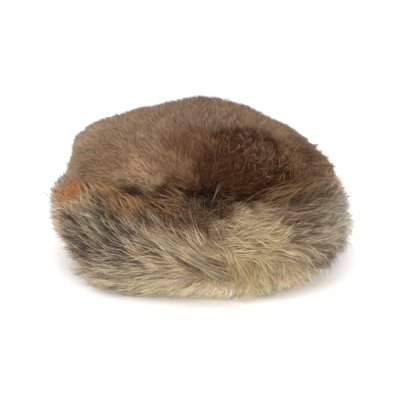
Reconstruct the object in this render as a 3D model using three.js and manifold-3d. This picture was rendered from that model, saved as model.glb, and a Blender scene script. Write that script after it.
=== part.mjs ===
// Fur cap: a soft crown of short plush fur over a broad turned-up band of long fur.
// Millimetres, +Z up, the front of the cap towards -Y, the origin in the middle of its underside.
import * as THREE from 'three';
import { mergeVertices } from 'three/addons/utils/BufferGeometryUtils.js';
import Module from 'manifold-3d';

const wasm = await Module();
wasm.setup();

// Driving sizes
const headWidth = 168; // clear width of the rim
const headLength = 200; // clear length of the rim
const capHeight = 144;
const skinWall = 3; // skin and flattened hair behind the band
const crownPile = 13; // skin and pile where the crown shows
const clearance = 0.3; // left between neighbouring pieces
const lockProud = 7; // how far a lock's tip stands off the body of the band
const overhang = 6; // how far the crown steps out over the top of its neck
const roundPower = 2; // a true oval, for the head
const crownPower = 2.1; // a little squarer
const bandPower = 2.3; // squarer still, with full corners

// How finely the surfaces are cut into rings and sections
const slices = 48;
const crownRises = [0.975, 0.93, 0.87, 0.79, 0.71, 0.62, 0.52, 0.42, 0.31, 0.20, 0.10, 0.03];
const neckShares = [0.97, 0.75, 0.5, 0.25];
const hollowRises = [0, 0.12, 0.23, 0.35, 0.46, 0.56, 0.66, 0.76, 0.84, 0.91, 0.96];
const drumRises = [1, 0.96, 0.88, 0.76, 0.64, 0.52, 0.4, 0.28, 0.16, 0.06, 0];
const finest = 0.05; // smaller steps than this are smoothed away
const weldDistance = 1e-4;

// How high the band stands at four places round the head
const bandHeight = { left: 75, right: 79, front: 81, back: 78 };

// The crown above the band: rise is the share of the way from the band's edge to the top.
// The left side stands up to a shoulder, the right side has slumped.
const crownRows = [
  { rise: 0.00, left: 120, right: 119, front: 117, back: 121 },
  { rise: 0.10, left: 121, right: 117, front: 119, back: 122 },
  { rise: 0.30, left: 118, right: 104, front: 113, back: 114 },
  { rise: 0.52, left: 112, right: 85, front: 99, back: 96 },
  { rise: 0.66, left: 95, right: 67, front: 86, back: 78 },
  { rise: 0.79, left: 67, right: 51, front: 68, back: 57 },
  { rise: 0.90, left: 37, right: 33, front: 44, back: 36 },
  { rise: 0.97, left: 15, right: 17, front: 23, back: 18 },
];

// The skin of the crown behind the band, by height above the rim
const neckRows = [
  { z: 0, spread: 0 },
  { z: 30, spread: 5 },
  { z: 60, spread: 13 },
];

// Inside of the crown: rise runs from the rim to the ceiling
const ceilingHeight = capHeight - crownPile;
const rim = { left: headWidth / 2, right: headWidth / 2, front: headLength / 2, back: headLength / 2 };
const hollowRows = [
  { rise: 0.00, ...rim },
  { rise: 0.23, left: 89, right: 89, front: 103, back: 103 },
  { rise: 0.46, left: 96, right: 96, front: 105, back: 106 },
  { rise: 0.64, left: 103, right: 101, front: 104, back: 109 },
  { rise: 0.77, left: 102, right: 90, front: 95, back: 103 },
  { rise: 0.88, left: 85, right: 63, front: 70, back: 79 },
  { rise: 0.96, left: 48, right: 37, front: 40, back: 44 },
];

// The band's outer form to the tips of its hair: rise is the share of the band's height
const bandRows = [
  { rise: 0.00, left: 115, right: 119, front: 130, back: 129 },
  { rise: 0.10, left: 120, right: 125, front: 137, back: 135 },
  { rise: 0.30, left: 128, right: 133, front: 145, back: 143 },
  { rise: 0.52, left: 136, right: 137, front: 148, back: 146 },
  { rise: 0.74, left: 141, right: 132, front: 143, back: 142 },
  { rise: 0.91, left: 136, right: 128, front: 133, back: 135 },
  { rise: 1.00, left: 126, right: 124, front: 123, back: 126 },
];

// Hollows and swells pressed into the crown, centred by place on the cap
const crownDents = [
  { name: 'hollow on the right of the top', x: 64, y: -54, reachX: 30, reachY: 20, depth: 7 },
  { name: 'crease behind the front parting', x: 2, y: -106, reachX: 22, reachY: 14, depth: 5 },
  { name: 'sag over the left shoulder', x: -58, y: -66, reachX: 34, reachY: 26, depth: 3 },
  { name: 'swell over the front right', x: 62, y: -94, reachX: 34, reachY: 20, depth: -4 },
  { name: 'fold behind the top', x: 18, y: 62, reachX: 46, reachY: 18, depth: 3 },
];

// Rows of locks on each half of the band. Lift turns the hair's run up from the level, in degrees:
// near the front, then at the side.
const lockRows = [
  { rise: 0.10, liftFront: -30, liftSide: -4, length: 46, width: 19 },
  { rise: 0.28, liftFront: -12, liftSide: 0, length: 52, width: 20 },
  { rise: 0.46, liftFront: 4, liftSide: 2, length: 54, width: 20 },
  { rise: 0.64, liftFront: 16, liftSide: 5, length: 52, width: 20 },
  { rise: 0.81, liftFront: 14, liftSide: 6, length: 44, width: 18 },
];
const locksInRow = 12;
const sideFrom = 0.385; // the share of a half, from the front, past which its locks lie as at the side
const lockVariation = { spacing: 0.25, lift: 5, rise: 0.02, length: 0.15 };
const lockBounds = { low: 0.02, high: 0.985 }; // shares of the band's height that no lock leaves

// A lock from root to tip: standOff is measured from the band's body, girth is a share of its width
const lockStations = [
  { along: 0.00, standOff: -7, girth: 0.55, thick: 2.5 },
  { along: 0.40, standOff: 0, girth: 1.00, thick: 4.6 },
  { along: 0.75, standOff: 3.6, girth: 0.62, thick: 3.2 },
];
const headingStep = 0.05; // share of a lock's length on each side of a station that gives its heading

// A value between rows, on a smooth curve through them
function along(rows, place, at, column) {
  const last = rows.length - 1;
  const clamped = Math.min(Math.max(at, rows[0][place]), rows[last][place]);
  let i = 0;
  while (i < last - 1 && rows[i + 1][place] < clamped) i += 1;
  const lower = rows[i];
  const upper = rows[i + 1];
  const before = rows[Math.max(i - 1, 0)];
  const after = rows[Math.min(i + 2, last)];
  const span = upper[place] - lower[place];
  const slope = (a, b) => (b[column] - a[column]) / (b[place] - a[place]);
  const t = (clamped - lower[place]) / span;
  const startSlope = slope(before, upper) * span;
  const endSlope = slope(lower, after) * span;
  const square = t * t;
  const cube = square * t;
  return (2 * cube - 3 * square + 1) * lower[column] + (cube - 2 * square + t) * startSlope
    + (3 * square - 2 * cube) * upper[column] + (cube - square) * endSlope;
}

// Distance from the axis to an oval made of four quarters; a power over 2 fills its corners
function ovalReach(section, azimuth, power) {
  const cos = Math.cos(azimuth);
  const sin = Math.sin(azimuth);
  const width = cos > 0 ? section.right : section.left;
  const depth = sin > 0 ? section.back : section.front;
  return (Math.abs(cos / width) ** power + Math.abs(sin / depth) ** power) ** (-1 / power);
}

function sectionAt(rows, at) {
  const section = {};
  for (const side of ['left', 'right', 'front', 'back']) section[side] = along(rows, 'rise', at, side);
  return section;
}

function bandTop(azimuth) {
  const across = Math.cos(azimuth) ** 2;
  const side = Math.cos(azimuth) > 0 ? bandHeight.right : bandHeight.left;
  const end = Math.sin(azimuth) > 0 ? bandHeight.back : bandHeight.front;
  return side * across + end * (1 - across);
}

function place(azimuth, reach, z) {
  return new THREE.Vector3(Math.cos(azimuth) * reach, Math.sin(azimuth) * reach, z);
}

// How far the crown's surface is pressed in at a point seen from above
function dentAt(x, y) {
  let depth = 0;
  for (const dent of crownDents) {
    const far = ((x - dent.x) / dent.reachX) ** 2 + ((y - dent.y) / dent.reachY) ** 2;
    depth += dent.depth * Math.exp(-far);
  }
  return depth;
}

// Closed body through a stack of rings from the top to the bottom, with a point at each end
function ringBody(top, rings, bottom) {
  const count = rings[0].length;
  const points = [top, ...rings.flat(), bottom];
  const last = points.length - 1;
  const index = [];
  for (let j = 0; j < count; j += 1) {
    const next = (j + 1) % count;
    index.push(0, 1 + j, 1 + next);
    index.push(last, last - count + next, last - count + j);
    for (let i = 0; i < rings.length - 1; i += 1) {
      const upper = 1 + i * count;
      const lower = upper + count;
      index.push(upper + j, lower + j, lower + next, upper + j, lower + next, upper + next);
    }
  }
  const geometry = new THREE.BufferGeometry().setFromPoints(points);
  geometry.setIndex(index);
  return geometry;
}

function ring(pointAt) {
  return Array.from({ length: slices }, (_, j) => pointAt((j / slices) * 2 * Math.PI));
}

// A point on the crown above the band. A dent presses the steep sides in and the top down.
function crownPoint(azimuth, rise, grow) {
  const low = bandTop(azimuth);
  const reach = ovalReach(sectionAt(crownRows, rise), azimuth, crownPower);
  const surface = place(azimuth, reach, low + (capHeight - low) * rise);
  const dent = dentAt(surface.x, surface.y) - grow;
  const downward = rise ** 2;
  return place(azimuth, reach - dent * (1 - downward), surface.z - dent * downward);
}

// A point on the outside of the skin behind the band
function neckPoint(azimuth, z, grow) {
  const inside = ovalReach(rim, azimuth, roundPower);
  return place(azimuth, inside + along(neckRows, 'z', z, 'spread') + skinWall + grow, z);
}

// Rings of the crown's outer skin, from near the top down to the rim; grow swells them for a clearance
function crownRings(grow, rimZ) {
  const rings = crownRises.map((rise) => ring((azimuth) => crownPoint(azimuth, rise, grow)));
  rings.push(ring((azimuth) => neckPoint(azimuth, bandTop(azimuth) - grow, grow + overhang)));
  for (const share of neckShares) {
    rings.push(ring((azimuth) => neckPoint(azimuth, (bandTop(azimuth) - grow) * share, grow)));
  }
  rings.push(ring((azimuth) => neckPoint(azimuth, 0, grow).setZ(rimZ)));
  return rings;
}

function hollowRings() {
  return hollowRises.map((rise) => ring((azimuth) => {
    const reach = ovalReach(sectionAt(hollowRows, rise), azimuth, roundPower);
    return place(azimuth, reach, ceilingHeight * rise);
  }));
}

function crownGeometry() {
  const top = new THREE.Vector3(0, 0, capHeight);
  const ceiling = new THREE.Vector3(0, 0, ceilingHeight);
  return ringBody(top, [...crownRings(0, 0), ...hollowRings()], ceiling);
}

// A point on the band's body, standOff outside it
function bandPoint(azimuth, rise, standOff) {
  const reach = ovalReach(sectionAt(bandRows, rise), azimuth, bandPower) - lockProud + standOff;
  return place(azimuth, reach, bandTop(azimuth) * rise);
}

// The whole band as a filled drum, later hollowed by the crown
function drumGeometry() {
  const rings = drumRises.map((rise) => ring((azimuth) => bandPoint(azimuth, rise, 0)));
  const middleHeight = (bandHeight.front + bandHeight.back) / 2;
  return ringBody(new THREE.Vector3(0, 0, middleHeight), rings, new THREE.Vector3(0, 0, 0));
}

// A repeatable small variation between -1 and 1
function vary(seed) {
  return 2 * ((Math.abs(Math.sin(seed * 12.9898) * 43758.5453)) % 1) - 1;
}

// One tapered lock that leaves the band's body at its root and stands proud at its tip
function lockGeometry(azimuth, rise, turn, lift, length, width) {
  const station = (share, standOff) => {
    const reach = bandPoint(azimuth, rise, 0).setZ(0).length();
    const run = length * share;
    const a = azimuth + (turn * run * Math.cos(lift)) / reach;
    const up = rise + (run * Math.sin(lift)) / bandTop(azimuth);
    return bandPoint(a, Math.min(Math.max(up, lockBounds.low), lockBounds.high), standOff);
  };
  const points = [];
  const ahead = new THREE.Vector3();
  for (const { along: share, standOff, girth, thick } of lockStations) {
    const middle = station(share, standOff);
    const outward = middle.clone().setZ(0).normalize();
    ahead.subVectors(station(share + headingStep, standOff), station(share - headingStep, standOff));
    ahead.normalize();
    const across = new THREE.Vector3().crossVectors(outward, ahead).multiplyScalar((width * girth) / 2);
    outward.multiplyScalar(thick);
    points.push(middle.clone().add(across), middle.clone().add(outward));
    points.push(middle.clone().sub(across), middle.clone().sub(outward));
  }
  points.push(station(1, lockProud));
  const index = [0, 3, 2, 0, 2, 1];
  for (let side = 0; side < 4; side += 1) {
    const next = (side + 1) % 4;
    for (const base of [0, 4]) {
      index.push(base + side, base + next, base + next + 4, base + side, base + next + 4, base + side + 4);
    }
    index.push(8 + side, 8 + next, 12);
  }
  const geometry = new THREE.BufferGeometry().setFromPoints(points);
  geometry.setIndex(index);
  return geometry;
}

function solid(geometry) {
  const bare = geometry.clone();
  bare.deleteAttribute('normal');
  bare.deleteAttribute('uv');
  const merged = mergeVertices(bare, weldDistance);
  return new wasm.Manifold(new wasm.Mesh({
    numProp: 3,
    vertProperties: new Float32Array(merged.attributes.position.array),
    triVerts: new Uint32Array(merged.index.array),
  }));
}

function geometryOf(body) {
  const mesh = body.getMesh();
  const geometry = new THREE.BufferGeometry();
  geometry.setAttribute('position', new THREE.BufferAttribute(mesh.vertProperties, 3));
  geometry.setIndex(new THREE.BufferAttribute(mesh.triVerts, 1));
  geometry.computeVertexNormals();
  return geometry;
}

// Half the band, on the side that sign names, with its locks combed away from the front parting
function bandHalf(sign) {
  let body = solid(drumGeometry());
  const front = -Math.PI / 2;
  lockRows.forEach((row, rowIndex) => {
    for (let k = 0; k < locksInRow; k += 1) {
      const seed = 1 + rowIndex * 31 + k * 7 + (sign > 0 ? 3 : 0);
      const stagger = (rowIndex % 2) / 2;
      const share = (k + stagger + lockVariation.spacing * vary(seed)) / locksInRow;
      const azimuth = front + sign * Math.PI * Math.max(share, 0);
      const sideways = Math.sin((Math.PI / 2) * Math.min(share / sideFrom, 1));
      const lift = row.liftFront + (row.liftSide - row.liftFront) * sideways
        + lockVariation.lift * vary(seed + 1);
      const rise = row.rise + lockVariation.rise * vary(seed + 2);
      const length = row.length * (1 + lockVariation.length * vary(seed + 3));
      const lock = lockGeometry(azimuth, rise, sign, THREE.MathUtils.degToRad(lift), length, row.width);
      body = body.add(solid(lock));
    }
  });
  const hollowed = body.subtract(solid(crownEnvelope()));
  // Gaps sealed in between locks are filled: only the outer skin of the half is kept
  const skins = hollowed.intersect(solid(sideRoom(sign))).simplify(finest).decompose();
  return skins.reduce((largest, skin) => (skin.volume() > largest.volume() ? skin : largest));
}

// A box that holds all of one side of the cap, short of the middle by half the clearance
function sideRoom(sign) {
  const size = 3 * capHeight;
  const room = new THREE.BoxGeometry(size, size, size);
  return room.translate((sign * (size + clearance)) / 2, 0, size / 2);
}

// The crown's outside, filled and grown by the clearance, that the band is cut by
function crownEnvelope() {
  const below = -capHeight;
  const top = new THREE.Vector3(0, 0, capHeight + clearance);
  return ringBody(top, crownRings(clearance, below), new THREE.Vector3(0, 0, below));
}

function fur(color) {
  return new THREE.MeshStandardMaterial({ color, roughness: 0.9, metalness: 0 });
}

function piece(name, geometry, color) {
  const mesh = new THREE.Mesh(geometry, fur(color));
  mesh.name = name;
  return mesh;
}

const cap = new THREE.Group();
cap.add(piece('crown', crownGeometry(), '#8b6f59'));

const band = new THREE.Group();
band.add(piece('band_left', geometryOf(bandHalf(-1)), '#94826b'));
band.add(piece('band_right', geometryOf(bandHalf(1)), '#b0a07a'));
cap.add(band);

// The middle of the underside's bounding box becomes the origin
const extent = new THREE.Box3().setFromObject(cap);
const middle = extent.getCenter(new THREE.Vector3());
cap.position.set(-middle.x, -middle.y, -extent.min.z);

export default cap;
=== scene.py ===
import math

import bpy
import numpy as np
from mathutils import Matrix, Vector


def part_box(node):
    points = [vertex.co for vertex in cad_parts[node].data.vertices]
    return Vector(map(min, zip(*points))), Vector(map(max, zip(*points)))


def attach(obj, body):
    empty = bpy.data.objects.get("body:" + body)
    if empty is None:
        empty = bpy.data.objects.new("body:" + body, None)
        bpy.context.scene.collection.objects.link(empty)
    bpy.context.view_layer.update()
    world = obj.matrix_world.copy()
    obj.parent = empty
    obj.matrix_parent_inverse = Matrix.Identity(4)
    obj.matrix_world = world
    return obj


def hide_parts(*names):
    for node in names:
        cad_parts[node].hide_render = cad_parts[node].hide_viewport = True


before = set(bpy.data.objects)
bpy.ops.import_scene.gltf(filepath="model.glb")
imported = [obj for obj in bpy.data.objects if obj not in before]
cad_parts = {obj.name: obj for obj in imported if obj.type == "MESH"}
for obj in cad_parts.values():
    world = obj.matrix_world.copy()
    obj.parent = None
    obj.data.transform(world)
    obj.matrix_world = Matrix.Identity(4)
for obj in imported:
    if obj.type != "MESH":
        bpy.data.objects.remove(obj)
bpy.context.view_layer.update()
print("frame loaded")

# Places on the cap are given in millimetres, as in the part's source: the front faces -Y, turn is the angle
# from the front towards +X, in degrees in the tables and in radians in the functions, and height is measured
# from the floor.
mm = 0.001
rng = np.random.default_rng(41)

capForm = {
    "height": 144,
    "skin": 3,
    "rim": {"left": 84, "right": 84, "front": 100, "back": 100},
    "bandHeight": {"left": 75, "right": 79, "front": 81, "back": 78},
    "crownPower": 2.1,
    "bandPower": 2.3,
    "crown": {
        "rise": (0.00, 0.10, 0.30, 0.52, 0.66, 0.79, 0.90, 0.97, 1.00),
        "left": (120, 121, 118, 112, 95, 67, 37, 15, 0.5),
        "right": (119, 117, 104, 85, 67, 51, 33, 17, 0.5),
        "front": (117, 119, 113, 99, 86, 68, 44, 23, 0.5),
        "back": (121, 122, 114, 96, 78, 57, 36, 18, 0.5),
    },
    "neck": {"z": (0, 30, 60), "spread": (0, 5, 13)},
    "hollow": {
        "rise": (0.00, 0.23, 0.46, 0.64, 0.77, 0.88, 0.96),
        "left": (84, 89, 96, 103, 102, 85, 48),
        "right": (84, 89, 96, 101, 90, 63, 37),
        "front": (100, 103, 105, 104, 95, 70, 40),
        "back": (100, 103, 106, 109, 103, 79, 44),
    },
    "ceiling": 131,
    "band": {
        "rise": (0.00, 0.10, 0.30, 0.52, 0.74, 0.91, 1.00),
        "left": (115, 120, 128, 136, 141, 136, 126),
        "right": (119, 125, 133, 137, 132, 128, 124),
        "front": (130, 137, 145, 148, 143, 133, 123),
        "back": (129, 135, 143, 146, 142, 135, 126),
    },
    # centre x and y, reach x and y, and how deep the crown is pressed in there
    "dents": (
        (64, -54, 30, 20, 7),
        (2, -106, 22, 14, 5),
        (-58, -66, 34, 26, 3),
        (62, -94, 34, 20, -4),
        (18, 62, 46, 18, 3),
    ),
}


def unit(vectors):
    # each vector over its length
    return vectors / np.maximum(np.linalg.norm(vectors, axis=-1, keepdims=True), 1e-9)


def bell(x, y, reachX, reachY):
    # e to minus the summed squares of both distances, each counted in its reach: 1 in the middle
    return np.exp(-(x / reachX) ** 2 - (y / reachY) ** 2)


def ballBell(points, middle, reach):
    # the same by the distance from a point in space
    return np.exp(-((points - middle) ** 2).sum(axis=-1) / reach ** 2)


def alongRows(rows, key, at, column):
    # a smooth curve through the rows: a cubic between each two, whose slopes come from the rows beyond them
    x = np.array(rows[key], float)
    y = np.array(rows[column], float)
    at = np.clip(at, x[0], x[-1])
    lower = np.clip(np.searchsorted(x, at) - 1, 0, len(x) - 2)
    upper = lower + 1
    before = np.maximum(lower - 1, 0)
    after = np.minimum(lower + 2, len(x) - 1)
    span = x[upper] - x[lower]
    t = (at - x[lower]) / span
    startSlope = (y[upper] - y[before]) / (x[upper] - x[before]) * span
    endSlope = (y[after] - y[lower]) / (x[after] - x[lower]) * span
    square = t * t
    cube = square * t
    value = (2 * cube - 3 * square + 1) * y[lower] + (cube - 2 * square + t) * startSlope
    return value + (3 * square - 2 * cube) * y[upper] + (cube - square) * endSlope


def ovalReach(section, turn, power):
    # distance from the axis to an oval of four quarters: one over the root of the summed powers
    across = np.sin(turn)
    deep = np.cos(turn)
    width = np.where(across > 0, section["right"], section["left"])
    depth = np.where(deep > 0, section["front"], section["back"])
    return (np.abs(across / width) ** power + np.abs(deep / depth) ** power) ** (-1 / power)


def sectionAt(rows, at):
    # the four reaches of an oval at that rise
    return {side: alongRows(rows, "rise", at, side) for side in ("left", "right", "front", "back")}


def bandTop(turn):
    # the band's height: a side's by the squared sine of the turn, and the front's or back's by the rest
    across = np.sin(turn) ** 2
    tops = capForm["bandHeight"]
    side = np.where(np.sin(turn) > 0, tops["right"], tops["left"])
    end = np.where(np.cos(turn) > 0, tops["front"], tops["back"])
    return side * across + end * (1 - across)


def place(turn, reach, z):
    # the point at that turn and height, and that far from the axis
    return np.stack([np.sin(turn) * reach, -np.cos(turn) * reach, z + 0 * reach], axis=-1)


def turnOf(points):
    # the angle from the front of each point
    return np.arctan2(points[..., 0], -points[..., 1])


def riseOf(turn, z):
    # the share of the way up from the band's edge to the top of the crown
    return (z - bandTop(turn)) / (capForm["height"] - bandTop(turn))


def crownPoint(turn, rise, out):
    # The crown above the band: its table's oval at each rise. The distance out, less the bells of the dents,
    # moves its steep sides level and its top upright, shared out by the square of the rise.
    low = bandTop(turn)
    reach = ovalReach(sectionAt(capForm["crown"], rise), turn, capForm["crownPower"])
    x, y = np.sin(turn) * reach, -np.cos(turn) * reach
    outward = out - sum(deep * bell(x - atX, y - atY, reachX, reachY)
                        for atX, atY, reachX, reachY, deep in capForm["dents"])
    upright = rise ** 2
    z = low + (capForm["height"] - low) * rise + outward * upright
    return place(turn, reach + outward * (1 - upright), z)


def bandReach(turn, height):
    # the form of the hair's tips: its table's oval at the height's share of the band
    return ovalReach(sectionAt(capForm["band"], height / bandTop(turn)), turn, capForm["bandPower"])


def neckReach(turn, height):
    # the outside of the skin behind the band: the rim's oval, with its spread at that height and the skin
    inside = ovalReach(capForm["rim"], turn, 2)
    return inside + alongRows(capForm["neck"], "z", height, "spread") + capForm["skin"]


def findShift():
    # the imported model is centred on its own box, so the crown's box there says how far the tables moved
    turns, rises = np.meshgrid(np.radians([0, 90, 180, 270]), np.linspace(0, 0.3, 61))
    grid = crownPoint(turns, rises, 0).reshape(-1, 3)
    middle = (grid.min(0) + grid.max(0)) / 2
    low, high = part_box("crown")
    return np.array([(low.x + high.x) / 2 / mm - middle[0], (low.y + high.y) / 2 / mm - middle[1], 0])


shift = findShift()


def toMetres(points):
    # from the tables' millimetres to the frame's metres
    return (points + shift) * mm


def makeRipple(size, seed):
    # a smooth unevenness of about that many millimetres: a sum of waves that run in random directions
    waves = np.random.default_rng(seed)
    runs = unit(waves.normal(size=(7, 3))) * waves.uniform(0.7, 1.4, (7, 1)) * 2 * np.pi / size
    starts = waves.uniform(0, 2 * np.pi, 7)
    return lambda points: np.sin(points @ runs.T + starts).sum(axis=-1) / math.sqrt(3.5)


# Colours

patchEdges = {
    "size": 16,  # millimetres of the ripple that makes the edges of the patches uneven
    "degrees": 1.6,  # how far it moves them round the band
    "height": 2.2,  # and up and down it
    "crown": 3.5,  # and each way on the crown
    "sharpness": 1.6,  # over 1, a patch keeps its own colour up to its edge
    "reach": 140,  # of the band's form, about
    "heights": (4, 3),  # the table is read from the first above the floor to the second past the band's edge
    "hemPaintedLight": 0.68,  # how much the hem's tones are raised at the floor: painted light against the shade there
    "hemHeight": 6,
}
patchRipple = makeRipple(patchEdges["size"], 21)


def toLinear(colour):
    # screen colours from 0 to 255 to the linear values that shaders use
    share = np.asarray(colour, float) / 255
    return np.where(share > 0.04045, ((share + 0.055) / 1.055) ** 2.4, share / 12.92)


# The long fur of the band by turn and height: the hair's tip and root, and the share of dark hairs in it
bandPatches = (
    # name, turn, height, reach in degrees, reach in height, tip, root, share dark
    ("orange corner", -64, 76, 14, 7, (202, 140, 76), (146, 93, 46), 0.12),
    ("orange along the edge", -47, 84, 9, 4, (224, 172, 120), (134, 95, 64), 0.20),
    ("tan along the edge", -38, 83, 4.5, 3.5, (216, 174, 128), (112, 82, 56), 0.24),
    ("orange wisp", -27, 77, 5, 4, (212, 156, 106), (132, 89, 58), 0.16),
    # dark edge left and dark edge by the whorl are painted shadow where the band's hair meets the crown's
    # edge
    ("dark edge left", -32, 86, 5, 4, (84, 54, 41), (40, 25, 19), 0.66),
    ("dark edge by the whorl", -15, 85, 6, 3, (98, 66, 50), (48, 31, 24), 0.60),
    ("grey by the corner", -37, 75, 5, 4.5, (190, 160, 126), (56, 39, 29), 0.45),
    ("tan by the corner", -50, 73, 6, 5, (238, 208, 168), (126, 100, 78), 0.20),
    ("brown below the orange", -28, 70, 8, 4, (150, 118, 88), (50, 35, 26), 0.54),
    ("brown left of the parting", -17, 76, 11, 5.5, (190, 138, 94), (62, 41, 26), 0.49),
    ("tan left of the whorl", -16, 69, 7, 4, (182, 156, 126), (58, 43, 32), 0.50),
    ("tan above the ridge", -11, 60, 6, 5, (214, 190, 154), (104, 84, 63), 0.30),
    ("grey field", -34, 56, 14, 15, (206, 184, 156), (46, 33, 25), 0.42),
    ("mauve patch", -48, 35, 8.5, 11, (194, 170, 152), (56, 41, 35), 0.50),
    ("mauve below", -38, 17, 5, 4.5, (200, 178, 154), (86, 68, 57), 0.36),
    ("tan below the field", -30, 26, 7, 6, (236, 216, 184), (124, 104, 85), 0.22),
    # left side: the fur's pale tone, raised further as painted light where the side turns away from the
    # lamps
    ("left side", -75, 52, 15, 22, (255, 236, 210), (164, 133, 107), 0.18),
    ("left hem", -69, 22, 15, 15, (232, 209, 178), (138, 114, 92), 0.24),
    ("light by the left edge", -62, 34, 7, 15, (234, 208, 184), (144, 118, 99), 0.25),
    ("cream below left", -13, 12, 12, 12, (234, 218, 187), (175, 155, 126), 0.11),
    ("cream further left", -36, 9, 11, 8, (230, 208, 175), (142, 120, 97), 0.21),
    ("whorl", -1, 72, 7, 10, (150, 122, 98), (36, 25, 17), 0.60),
    ("left of the straw", 8, 77, 3.5, 5, (126, 94, 66), (44, 30, 20), 0.55),
    ("top of the straw", 12, 75, 3.5, 4, (180, 152, 118), (104, 82, 60), 0.32),
    # dark line is painted shadow along the seam under the crown's edge
    ("dark line", 11, 82.5, 10, 5, (102, 74, 51), (40, 27, 18), 0.60),
    ("below the whorl", 4, 61, 6, 7, (230, 202, 164), (138, 114, 86), 0.26),
    ("ridge", -7, 46, 10, 9, (230, 208, 169), (148, 124, 94), 0.08),
    ("shade under the ridge", 3, 30, 3, 4, (178, 150, 114), (104, 82, 58), 0.32),
    ("yellow field", 13, 27, 9.5, 18, (221, 200, 157), (183, 159, 118), 0.06),
    ("shade in the straw", 22, 40, 4, 6, (198, 178, 140), (142, 120, 88), 0.15),
    ("greyer straw", 28, 28, 7, 9, (208, 190, 156), (154, 136, 108), 0.16),
    ("hem middle", 4, 5, 10, 7, (255, 240, 204), (214, 192, 158), 0.08),
    ("straw", 17, 55, 8.5, 15, (218, 200, 160), (168, 148, 110), 0.08),
    ("dark edge right", 42, 81, 15, 7, (146, 118, 90), (74, 55, 39), 0.46),
    ("light edge right", 28, 80, 6, 5, (206, 182, 148), (126, 105, 80), 0.24),
    ("brown streaks", 36, 64, 8, 8, (180, 157, 126), (86, 68, 52), 0.40),
    ("tan below the streaks", 34, 47, 7, 7, (216, 196, 166), (134, 115, 90), 0.24),
    ("grey brown side", 57, 50, 12, 16, (213, 196, 171), (121, 104, 86), 0.29),
    # grey side: the fur's pale grey, raised further as painted light where the side turns away from the
    # lamps
    ("grey side", 74, 46, 15, 26, (254, 254, 250), (206, 199, 186), 0.14),
    ("brown top of the side", 61, 73, 14, 10, (172, 152, 126), (96, 78, 61), 0.35),
    ("dark hem right", 51, 25, 7, 7, (190, 172, 156), (96, 80, 68), 0.36),
    ("tan hem right", 30, 6, 12, 6, (254, 236, 202), (208, 184, 147), 0.10),
    ("pale behind right", 96, 45, 15, 34, (230, 215, 191), (150, 132, 111), 0.24),
    ("grey behind right", 122, 45, 22, 40, (206, 186, 156), (116, 96, 76), 0.32),
    ("brown behind", 170, 50, 30, 40, (176, 148, 116), (80, 60, 44), 0.42),
    ("brown behind left", -150, 50, 30, 40, (188, 162, 128), (88, 68, 52), 0.38),
    ("tan behind left", -108, 45, 20, 40, (200, 172, 138), (98, 74, 56), 0.32),
)

# The short fur of the crown by place: its tip and root, and the share of dark hairs
crownPatches = (
    # name, x, y, z, reach, tip, root, share dark
    ("left shoulder", -108, -25, 102, 34, (201, 174, 145), (144, 119, 96), 0.12),
    ("left front", -88, -66, 104, 32, (174, 142, 110), (120, 91, 67), 0.14),
    ("light edge", -55, -100, 98, 14, (214, 178, 142), (143, 114, 88), 0.12),
    ("crevice", -46, -97, 106, 7, (152, 118, 90), (88, 65, 48), 0.26),
    ("light before the dark", -28, -106, 103, 12, (170, 134, 102), (108, 82, 60), 0.19),
    # the two dark spots are painted shadow in the seam between the crown and the band
    ("dark spot in the seam", -60, -105, 88, 9, (78, 49, 32), (34, 21, 14), 0.68),
    ("second dark spot", -30, -115, 86, 7.5, (92, 60, 39), (42, 27, 17), 0.60),
    ("red brown", -14, -113, 98, 10, (128, 85, 56), (76, 49, 33), 0.30),
    ("beside the whorl", 5, -117, 90, 11, (92, 60, 41), (44, 29, 20), 0.58),
    ("left top", -50, -40, 128, 36, (180, 150, 123), (120, 94, 75), 0.22),
    ("peak", 5, -18, 142, 32, (170, 140, 116), (108, 84, 67), 0.27),
    ("front of the top", -14, -80, 124, 16, (140, 103, 76), (90, 63, 44), 0.26),
    ("dark front", 16, -102, 108, 15, (109, 68, 42), (60, 36, 21), 0.50),
    ("dark edge", 36, -115, 90, 18, (99, 61, 36), (50, 31, 18), 0.57),
    ("dark patch", 50, -87, 110, 18, (94, 57, 34), (46, 28, 16), 0.53),
    # below the fringe and dark hollow: the fur's own darker brown, darkened further by painted shade where
    # the hollow lies under the overhanging fringe
    ("below the fringe", 24, -85, 116.5, 14, (104, 66, 42), (52, 33, 20), 0.51),
    ("dark hollow", 52, -66, 118, 17, (90, 54, 33), (41, 24, 14), 0.60),
    ("right of the dark patch", 76, -62, 108, 12, (146, 106, 74), (80, 55, 37), 0.36),
    ("right of the top", 42, -22, 134, 19, (172, 141, 113), (121, 94, 73), 0.18),
    ("right shoulder", 92, -14, 107, 20, (176, 143, 113), (117, 89, 68), 0.26),
    ("right front", 92, -64, 94, 18, (142, 106, 76), (80, 56, 39), 0.38),
    ("edge right of the dark", 76, -102, 84, 7, (136, 101, 72), (76, 53, 37), 0.38),
    ("right edge", 114, -34, 84, 16, (190, 162, 132), (118, 92, 69), 0.28),
    ("right back", 88, 42, 104, 46, (172, 144, 112), (118, 92, 68), 0.15),
    ("back", 0, 90, 100, 60, (166, 138, 110), (114, 88, 66), 0.18),
    ("left back", -86, 50, 108, 46, (180, 154, 126), (122, 98, 76), 0.14),
    ("back of the top", 0, 40, 134, 40, (166, 138, 112), (116, 92, 72), 0.17),
)


def blendPatches(nearness, patches):
    # each place takes the mean of the patches weighed by nearness, a bell that falls off with distance
    weight = nearness ** patchEdges["sharpness"] + 1e-30
    weight = weight / weight.sum(axis=0)
    tips, roots, darks = zip(*[patch[-3:] for patch in patches])
    return [np.tensordot(weight, values, (0, 0)) for values in (toLinear(tips), toLinear(roots), darks)]


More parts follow.
